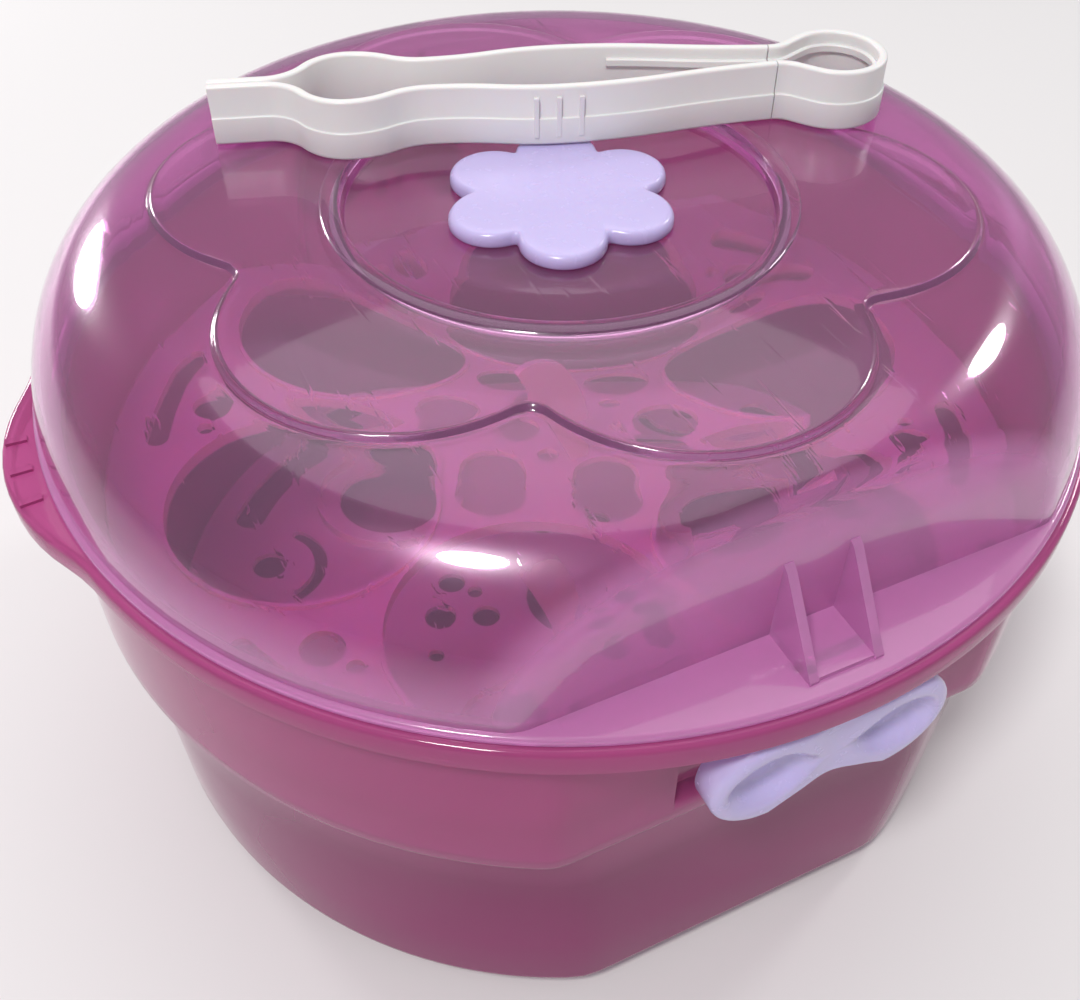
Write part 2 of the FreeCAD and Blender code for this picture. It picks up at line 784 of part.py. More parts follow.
def tongs_arm(side):
    # From the hinge past the handle and the neck, round half of the ring jaw, to the flat tip
    half = tongs_strip / 2
    line = [(hinge_x, hinge_half, 180 - hinge_slope), (handle_x, handle_half, 180),
            (neck_x, neck_half, 180), jaw_point(90), jaw_point(jaw_azimuth),
            (tip_start_x, tip_half, 180), (tip_end_x, tip_half, 180)]
    parts = [strip(line, half, half, tongs_height), strip(line, half + tongs_ledge, half, tongs_ledge_height)]
    if side < 0:
        proud = handle_half + half + tongs_ledge + grip_proud
        for index in range(grip_count):
            x = grip_x - index * grip_pitch
            parts.append(block(x, x + grip_width, handle_half - half, proud, grip_low_margin,
                               tongs_height - grip_high_margin))
    whole = fused(parts)
    if side < 0:
        whole = whole.mirror(V(0, 0, 0), V(0, 1, 0))
    return to_lid(whole)


def tongs_loop():
    # From one hinge slit round the end loop to the other
    half = tongs_strip / 2
    end_x = hinge_x + tongs_split
    line = [(end_x, hinge_half, -hinge_slope)]
    for azimuth in (loop_azimuth, 0, -loop_azimuth):
        place = polar(loop_radius, azimuth)
        line.append((loop_x + place.x, place.y, azimuth - 90))
    line.append((end_x, -hinge_half, 180 + hinge_slope))
    return to_lid(fused([strip(line, half, half, tongs_height),
                         strip(line, half, half + tongs_ledge, tongs_ledge_height)]))


os.makedirs("parts", exist_ok=True)
nodes = {
    "base_pan": base_pan,
    "lid": lid,
    "flower_badge": flower_badge,
    "front_latch": lambda: latch(-1),
    "rear_latch": lambda: latch(1),
    "upper_bottle_rack": upper_bottle_rack,
    "lower_rack": lower_rack,
    "tongs_loop": tongs_loop,
    "tongs_near_arm": lambda: tongs_arm(-1),
    "tongs_far_arm": lambda: tongs_arm(1),
}
for name, make in nodes.items():
    shape = make()
    box = shape.BoundBox
    print(name, shape.ShapeType, len(shape.Solids), shape.isValid(), round(shape.Volume),
          [round(v, 1) for v in (box.XMin, box.XMax, box.YMin, box.YMax, box.ZMin, box.ZMax)])
    shape.exportStep("parts/" + name + ".step")
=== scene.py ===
import math

import bmesh
import bpy
from bpy.props import FloatProperty, FloatVectorProperty, PointerProperty
from mathutils import Matrix, Vector


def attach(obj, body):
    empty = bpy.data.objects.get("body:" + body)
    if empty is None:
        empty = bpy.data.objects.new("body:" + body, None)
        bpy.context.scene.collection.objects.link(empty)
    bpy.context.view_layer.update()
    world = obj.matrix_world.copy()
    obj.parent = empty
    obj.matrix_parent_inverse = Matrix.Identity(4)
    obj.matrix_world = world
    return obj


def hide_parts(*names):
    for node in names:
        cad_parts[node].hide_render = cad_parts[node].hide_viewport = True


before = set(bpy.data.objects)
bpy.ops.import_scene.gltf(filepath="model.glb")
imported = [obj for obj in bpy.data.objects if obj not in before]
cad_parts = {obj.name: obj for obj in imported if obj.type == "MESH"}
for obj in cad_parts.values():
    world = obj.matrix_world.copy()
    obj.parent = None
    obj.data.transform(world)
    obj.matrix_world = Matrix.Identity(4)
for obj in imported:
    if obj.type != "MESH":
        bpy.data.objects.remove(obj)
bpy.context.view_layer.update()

bl_info = {
    "name": "Bottle sterilizer looks",
    "version": (1, 0, 0),
    "blender": (4, 5, 0),
    "location": "View3D > Sidebar > Sterilizer",
    "description": "Shells, tongs, trim, finishes and stage for a microwave bottle sterilizer",
    "category": "Object",
}

# Lengths in the code below are millimetres; meshes and properties are metres.
MM = 0.001

# Levels and plan sizes that the CAD nodes share
PAN_TOP = 136.0
LEDGE = 83.0
FLANGE_RADIUS = 142.0
BAND_RADIUS = 138.7
BAND_FLAT = 125.0
WAIST_RADIUS = 133.5
WAIST_FLAT = 123.0
FOOT_RADIUS = 131.0
FOOT_FLAT = 122.0
LID_RADIUS = 140.0
LID_FLAT = 121.0
LIP_TOP = 2.2
DOME_TOP = 39.5
DOME_TOP_RADIUS = 105.0
SHOULDER = 33.5
PAD_RISE = 1.5
RING_RADIUS = 60.7
LATCH_BACK = 131.5
LATCH_FRONT = 140.0
LATCH_MIDDLE = 112.75
TONGS_BASE = 177.5

# Colours
LID_TINT = "#E9A6DB"
LID_DEEP = "#E49DD4"
LID_PASSING = "#9F8FA3"
PAN_TINT = "#C55C98"
PAN_DEEP = "#BC548F"
# Darker colour for the pan's lower body below 90 mm: painted shade
PAN_LOW_PAINTED_SHADE = "#93336C"
PAN_PASSING = "#94869A"
RACK_COLOUR = "#CB8DB0"
RACK_DEEP = "#C485A9"
# Lighter colour for the racks' upright faces: a painted glint
RACK_PAINTED_GLINT = "#FACBD2"
TRIM_COLOUR = "#C6BAE6"
TRIM_DEEP = "#C1B4E2"
TONGS_COLOUR = "#E9E7E6"
TONGS_DEEP = "#E4E2E1"
FLOOR_COLOUR = "#E6E3E3"
WORLD_COLOUR = "#F4F4F6"

# Lamps: name, place, width and power in watts
LAMPS = (("key_softbox", (-0.48, -0.42, 1.15), 0.22, 8.6), ("left_softbox", (-0.55, 1.25, 0.5), 0.35, 5.4),
         ("right_softbox", (1.15, 0.25, 0.95), 0.22, 2.8), ("top_softbox", (0.35, 0.7, 1.9), 2.2, 13.0))


# Colours and nodes

def linear(hex_colour, alpha=1.0):
    """Turn an sRGB hex value into a linear colour."""
    channels = []
    for start in (1, 3, 5):
        value = int(hex_colour[start:start + 2], 16) / 255
        channels.append(value / 12.92 if value <= 0.04045 else ((value + 0.055) / 1.055) ** 2.4)
    return (*channels, alpha)


def add_node(tree, kind, links=None, **settings):
    """Add a node, set its properties and inputs, and link what feeds it."""
    node = tree.nodes.new(kind)
    for key, value in settings.items():
        if key in node.inputs:
            node.inputs[key].default_value = value
        else:
            setattr(node, key, value)
    for key, source in (links or {}).items():
        tree.links.new(source, node.inputs[key])
    return node


def new_material(name):
    """Start an empty material and return it with its tree and output."""
    material = bpy.data.materials.new(name)
    material.use_nodes = True
    tree = material.node_tree
    tree.nodes.clear()
    output = add_node(tree, "ShaderNodeOutputMaterial")
    return material, tree, output


def per_metre(millimetres):
    """A texture scale whose features are about this many millimetres across."""
    return 1.0 / (millimetres * MM)


def tint_between(tree, factor, first, second):
    """A colour that wanders between two linear colours."""
    tint = add_node(tree, "ShaderNodeMix", {"Factor": factor}, data_type="RGBA")
    tint.inputs[6].default_value = first
    tint.inputs[7].default_value = second
    return tint.outputs[2]


def ramp(tree, value, from_min, from_max, to_min=0.0, to_max=1.0):
    """Carry a value from one range to another."""
    node = add_node(tree, "ShaderNodeMapRange", {"Value": value})
    limits = {"From Min": from_min, "From Max": from_max, "To Min": to_min, "To Max": to_max}
    for socket, limit in limits.items():
        node.inputs[socket].default_value = limit
    return node.outputs["Result"]


def moulded_polypropylene(name, colours, clearness, roughness, passing_colour, coat, specular,
                          scratches):
    """Injection-moulded translucent polypropylene.

    Light passes through with a tint, and a share of it scatters in the wall, which gives the
    milky body. Flow marks vary the tint; handling leaves scuffs and hair-fine scratches in the
    gloss, drawn about 0.4 mm wide so that they show."""
    material, tree, output = new_material(name)
    place = add_node(tree, "ShaderNodeTexCoord").outputs["Object"]
    flow = add_node(tree, "ShaderNodeTexNoise", {"Vector": place}, Scale=per_metre(60), Detail=3.0,
                    Roughness=0.5)
    scuff = add_node(tree, "ShaderNodeTexNoise", {"Vector": place}, Scale=per_metre(7), Detail=6.0,
                     Roughness=0.7)
    gloss = ramp(tree, scuff.outputs["Fac"], 0.35, 0.8, roughness, roughness + 0.03)
    height = flow.outputs["Fac"]
    if scratches > 0:
        stretched = add_node(tree, "ShaderNodeMapping", {"Vector": place})
        stretched.inputs["Scale"].default_value = (1.0, 0.08, 1.0)
        stretched.inputs["Rotation"].default_value = (0.0, 0.0, 0.6)
        lines = add_node(tree, "ShaderNodeTexNoise", {"Vector": stretched.outputs["Vector"]},
                         Scale=per_metre(3), Detail=2.0, Roughness=0.4)
        crease = ramp(tree, lines.outputs["Fac"], 0.66, 0.72, 0.0, scratches)
        total = add_node(tree, "ShaderNodeMath", {0: height, 1: crease}, operation="ADD")
        height = total.outputs["Value"]
    bump = add_node(tree, "ShaderNodeBump", {"Height": height}, Strength=0.05, Distance=0.4 * MM)
    level = add_node(tree, "ShaderNodeSeparateXYZ", {"Vector": place})
    body_tint = tint_between(tree, flow.outputs["Fac"], colours[0], colours[1])
    # Below 90 mm the tint fades into the third colour; for the pan that is painted shade on its lower body
    tint = add_node(tree, "ShaderNodeMix", {"Factor": ramp(tree, level.outputs["Z"], 0.064, 0.09)},
                    data_type="RGBA")
    tint.inputs[6].default_value = colours[2]
    tree.links.new(body_tint, tint.inputs[7])
    sideways = add_node(tree, "ShaderNodeMath", {0: level.outputs["Y"]}, operation="ABSOLUTE")
    in_flat_wall = ramp(tree, sideways.outputs["Value"], 0.114, 0.119)
    near_rim = ramp(tree, level.outputs["Z"], 0.152, 0.138)
    milky = add_node(tree, "ShaderNodeMath", {0: in_flat_wall, 1: near_rim}, operation="MAXIMUM")
    clear_share = add_node(tree, "ShaderNodeMath",
                           {0: ramp(tree, milky.outputs["Value"], 0.0, 1.0, *clearness),
                            1: ramp(tree, level.outputs["Z"], 0.03, 0.1, 0.25, 1.0)}, operation="MULTIPLY")
    plastic = add_node(tree, "ShaderNodeBsdfPrincipled",
                       {"Base Color": tint.outputs[2], "Roughness": gloss, "Normal": bump.outputs["Normal"],
                        "Transmission Weight": clear_share.outputs["Value"]})
    plastic.inputs["IOR"].default_value = 1.45
    plastic.inputs["Specular IOR Level"].default_value = specular
    plastic.inputs["Coat Weight"].default_value = coat
    plastic.inputs["Coat Roughness"].default_value = 0.22
    lamp_path = add_node(tree, "ShaderNodeLightPath")
    passing = add_node(tree, "ShaderNodeBsdfTransparent")
    passing.inputs["Color"].default_value = passing_colour
    mixed = add_node(tree, "ShaderNodeMixShader", {"Fac": lamp_path.outputs["Is Shadow Ray"]})
    tree.links.new(plastic.outputs["BSDF"], mixed.inputs[1])
    tree.links.new(passing.outputs["BSDF"], mixed.inputs[2])
    tree.links.new(mixed.outputs["Shader"], output.inputs["Surface"])
    return material


def opaque_moulding(name, colour, second_colour, roughness, coat, depth, glint_colour=None):
    """Injection-moulded opaque plastic: even colour, soft gloss, some light under the skin; given a glint colour,
    upright faces take it as a painted glint.
    """
    material, tree, output = new_material(name)
    place = add_node(tree, "ShaderNodeTexCoord").outputs["Object"]
    cloud = add_node(tree, "ShaderNodeTexNoise", {"Vector": place}, Scale=per_metre(18), Detail=4.0)
    scuff = add_node(tree, "ShaderNodeTexNoise", {"Vector": place}, Scale=per_metre(3), Detail=5.0)
    gloss = ramp(tree, scuff.outputs["Fac"], 0.3, 0.7, roughness - 0.03, roughness + 0.05)
    bump = add_node(tree, "ShaderNodeBump", {"Height": scuff.outputs["Fac"]}, Strength=0.02,
                    Distance=0.05 * MM)
    plastic = add_node(tree, "ShaderNodeBsdfPrincipled",
                       {"Base Color": tint_between(tree, cloud.outputs["Fac"], colour, second_colour),
                        "Roughness": gloss, "Normal": bump.outputs["Normal"]})
    # Upright faces, such as the walls of holes, get the lighter colour: a painted glint
    if glint_colour is not None:
        facing = add_node(tree, "ShaderNodeSeparateXYZ",
                          {"Vector": add_node(tree, "ShaderNodeNewGeometry").outputs["Normal"]})
        upright = add_node(tree, "ShaderNodeMath", {0: facing.outputs["Z"]}, operation="ABSOLUTE")
        flatness = ramp(tree, upright.outputs["Value"], 0.2, 0.9)
        edge = add_node(tree, "ShaderNodeMix", {"Factor": flatness}, data_type="RGBA")
        edge.inputs[6].default_value = glint_colour
        tree.links.new(plastic.inputs["Base Color"].links[0].from_socket, edge.inputs[7])
        tree.links.new(edge.outputs[2], plastic.inputs["Base Color"])
    plastic.inputs["IOR"].default_value = 1.5
    plastic.inputs["Subsurface Weight"].default_value = depth
    plastic.inputs["Subsurface Scale"].default_value = 2 * MM
    plastic.inputs["Coat Weight"].default_value = coat
    tree.links.new(plastic.outputs["BSDF"], output.inputs["Surface"])
    return material


def painted_backdrop(name, colour):
    """Matt painted board under and behind the object."""
    material, tree, output = new_material(name)
    grain = add_node(tree, "ShaderNodeTexNoise", Scale=per_metre(4), Detail=2.0)
    board = add_node(tree, "ShaderNodeBsdfPrincipled",
                     {"Base Color": tint_between(tree, grain.outputs["Fac"], colour, colour)})
    board.inputs["Roughness"].default_value = 0.9
    tree.links.new(board.outputs["BSDF"], output.inputs["Surface"])
    return material


def dress(node, material):
    """Give a CAD node's surface a finish."""
    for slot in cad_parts[node].material_slots:
        slot.material = material


# Shapes

def smooth_min(a, b, blend):
    """The lower of two lengths, rounded where they meet."""
    share = max(blend - abs(a - b), 0) / blend
    return min(a, b) - share * share * blend / 4


def smooth_max(a, b, blend):
    return -smooth_min(-a, -b, blend)


def ease(low, high, value):
    """Rise from 0 to 1 between two values."""
    share = min(max((value - low) / (high - low), 0), 1)
    return share * share * (3 - 2 * share)


def wall_radius(azimuth, distance):
    """How far out a flat wall across -Y or +Y lies in one direction."""
    return distance / max(abs(math.sin(azimuth)), 0.001)


def across(azimuth):
    """Where a direction meets the band's flat, as a distance from its middle."""
    return abs(BAND_FLAT * math.cos(azimuth)) / max(abs(math.sin(azimuth)), 0.001)


def shell_azimuths():
    """Directions round a shell: even, with more of them at the corners, pockets and tabs."""
    angles = set()
    for step in range(180):
        angles.add(round(step * 2.0, 3))
    for middle in (90, 270):
        for offset in (13.2, 13.37, 13.45, 13.54, 13.62, 13.8, 14.3, 14.44, 14.52,
                       14.6, 14.7, 14.9, 15.4, 24.5, 25.0, 25.5, 26.5, 27.5, 28.5, 29.0, 29.5,
                       30.5, 31.0):
            angles.add(round(middle + offset, 3))
            angles.add(round(middle - offset, 3))
    return [math.radians(angle) for angle in sorted(angles)]


def lathe(rows, azimuths, closed_profile):
    """Rings of (radius, height) by azimuth, joined by quads; a ring of no radius is one point."""
    verts = []
    rings = []
    for row in rows:
        ring = []
        for azimuth in azimuths:
            radius, height = row(azimuth)
            ring.append(len(verts))
            verts.append((radius * math.cos(azimuth), radius * math.sin(azimuth), height))
        rings.append(ring)
    pairs = list(zip(rings, rings[1:])) + ([(rings[-1], rings[0])] if closed_profile else [])
    faces = []
    count = len(azimuths)
    for first, second in pairs:
        for index in range(count):
            following = (index + 1) % count
            faces.append((first[index], first[following], second[following], second[index]))
    return verts, faces


def flat(radius, height):
    """A ring of one radius at one height."""
    return lambda azimuth: (radius, height)


def prism(outline, offset):
    """A closed plan outline of 3-D points pushed along a vector."""
    count = len(outline)
    verts = [tuple(point) for point in outline]
    verts += [tuple(point[axis] + offset[axis] for axis in range(3)) for point in outline]
    faces = [tuple(range(count)), tuple(range(2 * count - 1, count - 1, -1))]
    for index in range(count):
        following = (index + 1) % count
        faces.append((index, index + count, following + count, following))
    return verts, faces


def box(x0, x1, y0, y1, z0, z1):
    return prism([(x0, y0, z0), (x1, y0, z0), (x1, y1, z0), (x0, y1, z0)], (0, 0, z1 - z0))


def turned(shape, angle):
    """A shape turned about the middle axis, in degrees."""
    cosine = math.cos(math.radians(angle))
    sine = math.sin(math.radians(angle))
    verts, faces = shape
    return [(x * cosine - y * sine, x * sine + y * cosine, z) for x, y, z in verts], faces


# Pan

def flange_radius(azimuth):
    """The rim flange's outline: a disc that swells into a grip tab at -X and +X."""
    reach = abs(math.cos(azimuth))
    aside = 91.0 * math.sin(azimuth)
    if abs(aside) >= 58.0:
        return FLANGE_RADIUS
    return smooth_max(FLANGE_RADIUS, 91.0 * reach + math.sqrt(58.0 ** 2 - aside ** 2), 2.5)


def band_radius(azimuth, height, inset):
    """The wide band above the ledge, with its flats and the latch pocket sunk into each."""
    sunk = 3.5 * (1 - ease(29.7 + inset, 30.3 + inset, across(azimuth))) * ease(90.0, 93.5, height + inset)
    return smooth_min(BAND_RADIUS - inset, wall_radius(azimuth, BAND_FLAT - sunk - inset), 1.6)


def lower_radius(azimuth, height, inset):
    """The lower body, a little narrower towards its floor."""
    share = height / LEDGE
    radius = FOOT_RADIUS + (WAIST_RADIUS - FOOT_RADIUS) * share
    distance = FOOT_FLAT + (WAIST_FLAT - FOOT_FLAT) * share
    return smooth_min(radius - inset, wall_radius(azimuth, distance - inset), 2.0)


def band_row(height, inset, draw_in=0.0):
    return lambda azimuth: (band_radius(azimuth, height, inset) - draw_in, height)


def lower_row(height, inset, draw_in=0.0):
    return lambda azimuth: (lower_radius(azimuth, height, inset) - draw_in, height)


def flange_row(height, inset):
    return lambda azimuth: (flange_radius(azimuth) - inset, height)


def foot_row(height, inset):
    return lambda azimuth: (smooth_min(FOOT_RADIUS - inset, wall_radius(azimuth, FOOT_FLAT - inset), 2.0), height)


def pan_shape(wall):
    """Rows from the middle of the underside, up the outside, over the rim and down the inside."""
    rows = [flat(0, 1.5), flat(60, 1.5), foot_row(1.5, 14.2), foot_row(0.4, 13.8), foot_row(0.0, 13.4),
            foot_row(0.0, 11.6), foot_row(0.4, 11.2), foot_row(1.5, 11.0)]
    rounding = 8.0
    for step in range(9):
        angle = math.pi / 2 * step / 8
        rows.append(lower_row(1.5 + rounding * (1 - math.cos(angle)), 0, rounding * (1 - math.sin(angle))))
    rows += [lower_row(30, 0), lower_row(55, 0), lower_row(80.5, 0), lower_row(82.0, 0, -0.3),
             lower_row(82.8, 0, -1.3), band_row(83.0, 0, 2.3), band_row(83.15, 0, 1.0),
             band_row(83.6, 0, 0.35), band_row(84.6, 0), band_row(88, 0), band_row(90, 0), band_row(91, 0),
             band_row(92.2, 0), band_row(93.5, 0), band_row(110, 0), band_row(128, 0), band_row(132.6, 0),
             band_row(133.5, 0, -0.3), flange_row(133.5, 2.6), flange_row(133.0, 2.2), flange_row(129.4, 2.2),
             flange_row(129.0, 1.8), flange_row(129.0, 0.5), flange_row(129.4, 0.05), flange_row(130.0, 0),
             flange_row(134.6, 0), flange_row(135.4, 0.25), flange_row(135.85, 0.7), flange_row(136.0, 1.4),
             band_row(136.0, 1.4), band_row(135.6, 2.2), band_row(134.6, wall), band_row(110, wall),
             band_row(93.5, wall), band_row(91, wall), band_row(88, wall), band_row(86.3, wall),
             band_row(85.7, 2.7), band_row(85.5, 3.3)]
    rows += [lower_row(85.5, 1.9), lower_row(85.2, 2.3), lower_row(84.4, wall), lower_row(55, wall),
             lower_row(30, wall)]
    rounding = 5.5
    for step in range(7):
        angle = math.pi / 2 * step / 6
        rows.append(lower_row(4.0 + rounding * (1 - math.sin(angle)), wall, rounding * (1 - math.cos(angle))))
    rows += [foot_row(4.0, 20), flat(60, 4.0), flat(0, 4.0)]
    return lathe(rows, shell_azimuths(), False)


def tab_ribs():
    """Three low grip ribs across each tab."""
    ribs = []
    for first in (0, 180):
        for index in (-1, 0, 1):
            ribs.append(turned(box(141.9, 147.2, -1.0, 1.0, 135.0, 136.85), first + index * 4.6))
    return ribs


def latch_ears():
    """Two snap-in bearings for each latch's trunnion: C-shaped arms open to the front."""
    outline = [(0, 120.6, 106.2), (0, 120.6, 113.8)]
    for step in range(9):
        angle = math.radians(90 - step * 64 / 8)
        outline.append((0, 133.6 + 3.8 * math.cos(angle), 110 + 3.8 * math.sin(angle)))
    for step in range(19):
        angle = math.radians(54 + step * 252 / 18)
        outline.append((0, 133.6 + 2.05 * math.cos(angle), 110 + 2.05 * math.sin(angle)))
    for step in range(9):
        angle = math.radians(-26 - step * 64 / 8)
        outline.append((0, 133.6 + 3.8 * math.cos(angle), 110 + 3.8 * math.sin(angle)))
    ears = []
    for first in (0, 180):
        for x in (-4.4, 2.0):
            ears.append(turned(prism([(x, y, z) for _, y, z in outline], (2.4, 0, 0)), first))
    return ears


# Lid

def petal_outline(reach, petal, count, turn, blend):
    """Plan outline of round petals with soft hollows: radius for each azimuth."""
    centre = reach - petal
    step = 2 * math.pi / count

    def radius(azimuth):
        share = (azimuth - turn) / step
        values = []
        for lobe in (math.floor(share) + 0.5, math.floor(share) - 0.5, math.floor(share) + 1.5):
            aside = centre * math.sin(azimuth - turn - lobe * step)
            ahead = centre * math.cos(azimuth - turn - lobe * step)
            inside = petal ** 2 - aside ** 2
            values.append(ahead + math.sqrt(inside) if inside > 0 else 0.0)
        values.sort()
        return smooth_max(values[-1], values[-2], blend)
    return radius


PAD_OUTLINE = petal_outline(DOME_TOP_RADIUS, 41.7, 6, 0.0, 9.0)


def shoulder_height(radius, inset):
    """Height of the dome's outside at a radius, above the pan's rim."""
    if radius <= DOME_TOP_RADIUS:
        return DOME_TOP - inset
    width = SHOULDER - inset
    share = min((radius - DOME_TOP_RADIUS) / width, 1.0)
    return LIP_TOP + (DOME_TOP - LIP_TOP - inset) * math.sqrt(1 - share * share)


def shoulder_row(angle, inset):
    """A ring of the dome's shoulder, cut off by the flat walls, which lean back above their bevel."""
    height = LIP_TOP + (DOME_TOP - LIP_TOP - inset) * math.sin(angle)
    radius = DOME_TOP_RADIUS + (SHOULDER - inset) * math.cos(angle)
    lean = 4.9 * max(height - 24.0, 0) / 15.5
    return lambda azimuth: (smooth_min(radius, wall_radius(azimuth, LID_FLAT - inset - lean), 1.6),
                            PAN_TOP + height)


def pad_row(offset, drop):
    """A ring along the edge of the flower pad."""
    def row(azimuth):
        radius = PAD_OUTLINE(azimuth) + offset
        return radius, PAN_TOP + shoulder_height(radius, 0) + PAD_RISE * (1 - drop)
    return row


def rib_row(depth, inset):
    """The locating rib under the lip, which is left out behind the latch pockets."""
    def row(azimuth):
        here = ease(33.0, 35.0, across(azimuth))
        return (smooth_min(BAND_RADIUS - inset, wall_radius(azimuth, BAND_FLAT - inset), 1.6),
                PAN_TOP + 0.02 - depth * here)
    return row


def pad_skirt_row(share):
    """A ring between the flower pad's foot and the start of the shoulder."""
    def row(azimuth):
        radius = PAD_OUTLINE(azimuth) + 2.6
        radius += (108.6 - radius) * share
        return radius, PAN_TOP + shoulder_height(radius, 0)
    return row


def lid_shape(wall):
    """Rows from the stem hole, over the outside to the lip, and back up the inside."""
    base = PAN_TOP
    top = base + DOME_TOP + PAD_RISE
    ring = RING_RADIUS
    rows = [flat(4.05, top - 4.0), flat(40, top - 4.0), flat(54.2, top - 4.0), flat(54.9, top - 3.8),
            flat(55.3, top - 3.2), flat(56.1, top - 0.3), flat(56.3, top + 0.3), flat(56.8, top + 0.5),
            flat(60.1, top + 0.5), flat(60.6, top + 0.3), flat(60.9, top), flat(61.6, top),
            flat(70, top), flat(76, top)]
    rows += [pad_row(-4.0, 0), pad_row(-1.2, 0), pad_row(-0.5, 0.06), pad_row(0.0, 0.25), pad_row(0.5, 0.7),
             pad_row(0.9, 0.95), pad_row(1.4, 1.0), pad_row(2.6, 1.0), pad_skirt_row(0.3),
             pad_skirt_row(0.6), pad_skirt_row(0.85), pad_skirt_row(1.0)]
    rows += [shoulder_row(math.radians(angle), 0)
             for angle in (81, 76, 71, 66, 61, 56, 50, 44, 38, 32, 26, 20, 14, 9, 5, 2, 0)]
    rows += [flat(138.9, base + LIP_TOP), flat(139.4, base + 2.1), flat(139.8, base + 1.8),
             flat(140.0, base + 1.3), flat(140.0, base + 0.3), flat(139.7, base + 0.02),
             flat(138.0, base + 0.02)]
    rows += [rib_row(0.0, 2.9), rib_row(3.6, 3.0), rib_row(4.0, 3.4), rib_row(4.0, 4.4),
             rib_row(3.6, 4.8), rib_row(-0.5, 4.9)]
    rows += [shoulder_row(math.radians(angle), wall)
             for angle in (1, 6, 12, 18, 25, 32, 40, 48, 56, 64, 72, 80, 88)]
    rows += [flat(85, base + DOME_TOP - wall), flat(60.0, base + DOME_TOP - wall),
             flat(58.6, base + DOME_TOP - wall - 0.4), flat(57.4, top - 5.8), flat(56.6, top - 6.2),
             flat(30, top - 6.2), flat(4.05, top - 6.2)]
    return lathe(rows, shell_azimuths(), True)


def lid_fittings():
    """Gussets before each flat wall, the thin pad between them and the lug that a latch grips."""
    shapes = []
    for first in (0, 180):
        for x in (-9.2, 6.9):
            web = [(x, 120.0, 137.0), (x, 136.0, 137.0), (x, 136.0, 139.0), (x, 135.2, 140.0),
                   (x, 122.5, 158.8), (x, 121.0, 160.0), (x, 120.0, 160.0)]
            shapes.append(turned(prism(web, (2.3, 0, 0)), first))
        shapes.append(turned(box(-8.0, 8.0, 120.0, 135.6, 137.0, 139.4), first))
        shapes.append(turned(box(-9.0, 9.0, 128.8, 131.2, 122.1, 137.0), first))
    return shapes


# Badge and latches

def badge_shape():
    """A six-petalled badge with a round-over edge, a faint crown and a stem below."""
    outline = petal_outline(31.0, 11.0, 6, math.radians(36.5), 4.5)
    floor = PAN_TOP + DOME_TOP + PAD_RISE - 4.0
    top = floor + 3.9

    def row(offset, height):
        return lambda azimuth: (outline(azimuth) + offset, height)

    rows = [flat(0, floor - 4.4), flat(3.9, floor - 4.4), flat(3.9, floor), row(-1.0, floor),
            row(-0.3, floor + 0.15), row(0.0, floor + 0.6), row(0.0, floor + 1.7)]
    for step in range(1, 7):
        angle = math.pi / 2 * step / 6
        rows.append(row(-2.0 * (1 - math.cos(angle)), floor + 1.7 + 2.1 * math.sin(angle)))
    rows += [row(-4.0, top - 0.06), row(-8.0, top), flat(10, top), flat(0, top)]
    count = 192
    return lathe(rows, [2 * math.pi * index / count for index in range(count)], False)


def bow_reach(angle):
    """How far the latch's bow-tie outline lies from its middle in one direction."""
    lobe = 14.25
    centre = 16.75
    low = 0.0
    high = 34.0
    for _ in range(40):
        middle = (low + high) / 2
        x = middle * abs(math.cos(angle))
        z = middle * math.sin(angle)
        dip = 1.2 if z > 0 else 5.5
        waist = (lobe - dip) + (dip * (x / centre) ** 2 if x < centre else dip)
        inside = (abs(z) < min(waist, lobe)) if x < centre else (math.hypot(x - centre, z) < lobe)
        low, high = (middle, high) if inside else (low, middle)
    return low


def latch_face(x, z, share, dish_depth):
    """Front of the latch at a point; share runs from 0 in the middle to 1 at the edge."""
    rim = 2.2 * (1 - math.sqrt(max(1 - max(share - 0.86, 0) ** 2 / 0.0196, 0)))
    hollow = 0.0
    for hand in (-1, 1):
        along = (hand * x - 16.6) / 12.2
        reach = 9.6 * (1 - 0.3 * min(along, 0) ** 2)
        distance = math.hypot(along, (z - 0.2) / reach)
        hollow = max(hollow, dish_depth * (1 - ease(0.5, 1.0, distance)))
    waist = 0.8 * (1 - ease(0.0, 9.0, abs(x)))
    return LATCH_FRONT - rim - hollow - waist


def latch_shape(first, dish_depth):
    """A bow-tie with two oval finger dishes; the hollow behind its waist and the short trunnion are added in
    BuildTrim.
    """
    count = 128
    shares = [0.0, 0.1, 0.2, 0.3, 0.4, 0.5, 0.58, 0.66, 0.74, 0.8, 0.86, 0.9, 0.94, 0.97, 0.99, 1.0]
    verts = []
    faces = []
    for share in shares:
        for index in range(count):
            angle = 2 * math.pi * index / count
            reach = bow_reach(angle) * share
            x, z = reach * math.cos(angle), reach * math.sin(angle)
            verts.append((x, latch_face(x, z, share, dish_depth), LATCH_MIDDLE + z))
    for share in (1.0, 0.985, 0.0):
        for index in range(count):
            angle = 2 * math.pi * index / count
            reach = bow_reach(angle) * share
            back = LATCH_BACK + (0.4 if share == 1.0 else 0.0)
            verts.append((reach * math.cos(angle), back, LATCH_MIDDLE + reach * math.sin(angle)))
    for ring in range(len(shares) + 2):
        for index in range(count):
            following = (index + 1) % count
            faces.append((ring * count + index, ring * count + following,
                          (ring + 1) * count + following, (ring + 1) * count + index))
    return turned((verts, faces), first)


def trunnion():
    """The latch's hinge pin."""
    circle = []
    for index in range(32):
        angle = 2 * math.pi * index / 32
        circle.append((-5.2, 133.6 + 2.0 * math.cos(angle), 110 + 2.0 * math.sin(angle)))
    return prism(circle, (10.4, 0, 0))


# Tongs

